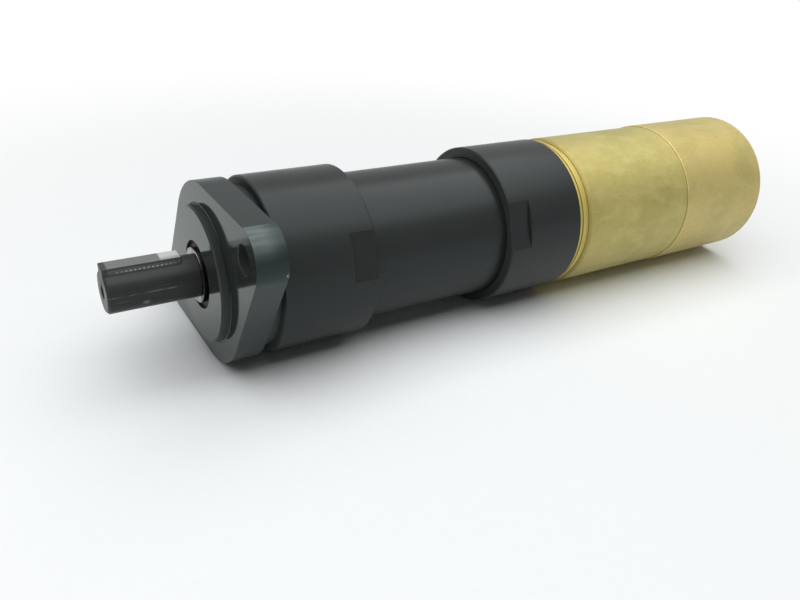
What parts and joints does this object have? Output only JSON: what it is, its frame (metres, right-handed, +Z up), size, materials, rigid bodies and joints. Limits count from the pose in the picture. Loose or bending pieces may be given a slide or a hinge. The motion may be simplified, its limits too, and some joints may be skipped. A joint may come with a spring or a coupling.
{
  "type": "air vane motor",
  "caption": "Cylindrical air vane motor with planetary gearing, a keyed output shaft, a bolted rhombic flange, black steel housings and a brass exhaust and inlet end.",
  "frame": {"origin": "centre of the flange's mounting face, on the shaft's axis", "axes": "X along the motor: the output shaft points to -X and the air inlet to +X; +Z up as the motor lies with one straight side of its flange flat on a table"},
  "size_m": [0.2003, 0.0628, 0.0434],
  "materials": {
    "black_steel": "satin blackened steel",
    "blackened_shaft": "blackened and scratched steel",
    "brass": "satin turned brass",
    "bright_steel": "ground steel",
    "grey_iron": "machined iron",
    "rubber": "matte rubber",
    "vane_laminate": "woven phenolic laminate",
    "sintered_bronze": "porous sintered bronze"
  },
  "bodies": {
    "root": {"front_flange": "black_steel", "shaft_seal": "rubber", "front_bearing_outer": "bright_steel", "carrier_bearing_outer": "bright_steel", "spring_washer": "bright_steel", "bearing_circlip": "grey_iron", "gear_housing": "black_steel", "ring_gear": "grey_iron", "cylinder_liner": "grey_iron", "front_end_plate": "grey_iron", "rear_end_plate": "grey_iron", "locating_pins": "bright_steel", "rotor_front_bearing_outer": "bright_steel", "rotor_rear_bearing_outer": "bright_steel", "motor_tube": "black_steel", "rear_collar": "black_steel", "exhaust_body": "brass", "spigot_o_ring": "rubber", "inlet_cap": "brass", "cap_o_ring": "rubber", "inlet_tube": "brass", "silencer_plug": "sintered_bronze"},
    "output": {"output_shaft": "blackened_shaft", "shaft_key": "blackened_shaft", "shaft_spacer": "bright_steel", "bearing_spacer": "bright_steel", "front_bearing_inner": "bright_steel", "carrier_bearing_inner": "bright_steel", "planet_pin_1": "bright_steel", "planet_pin_2": "bright_steel", "planet_pin_3": "bright_steel"},
    "rotor": {"rotor": "grey_iron", "sun_gear": "bright_steel", "rotor_front_bearing_inner": "bright_steel", "rotor_rear_bearing_inner": "bright_steel"},
    "front_cage": {"front_bearing_balls": "bright_steel", "front_bearing_cage": "brass"},
    "carrier_cage": {"carrier_bearing_balls": "bright_steel", "carrier_bearing_cage": "brass"},
    "rotor_front_cage": {"rotor_front_bearing_balls": "bright_steel", "rotor_front_bearing_cage": "brass"},
    "rotor_rear_cage": {"rotor_rear_bearing_balls": "bright_steel", "rotor_rear_bearing_cage": "brass"},
    "planet_1": {"planet_gear_1": "bright_steel"},
    "planet_2": {"planet_gear_2": "bright_steel"},
    "planet_3": {"planet_gear_3": "bright_steel"},
    "vane_1": {"vane_1": "vane_laminate"},
    "vane_2": {"vane_2": "vane_laminate"},
    "vane_3": {"vane_3": "vane_laminate"},
    "vane_4": {"vane_4": "vane_laminate"},
    "vane_5": {"vane_5": "vane_laminate"}
  },
  "joints": [
    {"name": "output_spin", "type": "hinge", "parent": "root", "child": "output", "pos_m": [0, 0, 0], "axis": [1, 0, 0], "continuous": true},
    {"name": "rotor_spin", "type": "hinge", "parent": "root", "child": "rotor", "pos_m": [0, 0, 0], "axis": [1, 0, 0], "continuous": true},
    {"name": "planet_1_spin", "type": "hinge", "parent": "output", "child": "planet_1", "pos_m": [0.0321, 0, 0.00901], "axis": [1, 0, 0], "continuous": true},
    {"name": "planet_2_spin", "type": "hinge", "parent": "output", "child": "planet_2", "pos_m": [0.0321, -0.0078, -0.0045], "axis": [1, 0, 0], "continuous": true},
    {"name": "planet_3_spin", "type": "hinge", "parent": "output", "child": "planet_3", "pos_m": [0.0321, 0.0078, -0.0045], "axis": [1, 0, 0], "continuous": true},
    {"name": "front_cage_spin", "type": "hinge", "parent": "root", "child": "front_cage", "pos_m": [0, 0, 0], "axis": [1, 0, 0], "continuous": true},
    {"name": "carrier_cage_spin", "type": "hinge", "parent": "root", "child": "carrier_cage", "pos_m": [0, 0, 0], "axis": [1, 0, 0], "continuous": true},
    {"name": "rotor_front_cage_spin", "type": "hinge", "parent": "root", "child": "rotor_front_cage", "pos_m": [0, 0, 0], "axis": [1, 0, 0], "continuous": true},
    {"name": "rotor_rear_cage_spin", "type": "hinge", "parent": "root", "child": "rotor_rear_cage", "pos_m": [0, 0, 0], "axis": [1, 0, 0], "continuous": true},
    {"name": "vane_1_slide", "type": "slide", "parent": "rotor", "child": "vane_1", "axis": [0, 0, -1], "range_m": [0, 0.00278]},
    {"name": "vane_2_slide", "type": "slide", "parent": "rotor", "child": "vane_2", "axis": [0, 0.9511, -0.309], "range_m": [0, 0.00175]},
    {"name": "vane_3_slide", "type": "slide", "parent": "rotor", "child": "vane_3", "axis": [0, 0.5878, 0.809], "range_m": [0, 0.00036]},
    {"name": "vane_4_slide", "type": "slide", "parent": "rotor", "child": "vane_4", "axis": [0, -0.5878, 0.809], "range_m": [0, 0.00036]},
    {"name": "vane_5_slide", "type": "slide", "parent": "rotor", "child": "vane_5", "axis": [0, -0.9511, -0.309], "range_m": [0, 0.00175]}
  ],
  "couplings": [
    {"joint": "rotor_spin", "follows": "output_spin", "ratio": 4},
    {"joint": "planet_1_spin", "follows": "output_spin", "ratio": -3},
    {"joint": "planet_2_spin", "follows": "output_spin", "ratio": -3},
    {"joint": "planet_3_spin", "follows": "output_spin", "ratio": -3},
    {"joint": "front_cage_spin", "follows": "output_spin", "ratio": 0.3711},
    {"joint": "carrier_cage_spin", "follows": "output_spin", "ratio": 0.3711},
    {"joint": "rotor_front_cage_spin", "follows": "output_spin", "ratio": 1.4646},
    {"joint": "rotor_rear_cage_spin", "follows": "output_spin", "ratio": 1.4646}
  ]
}
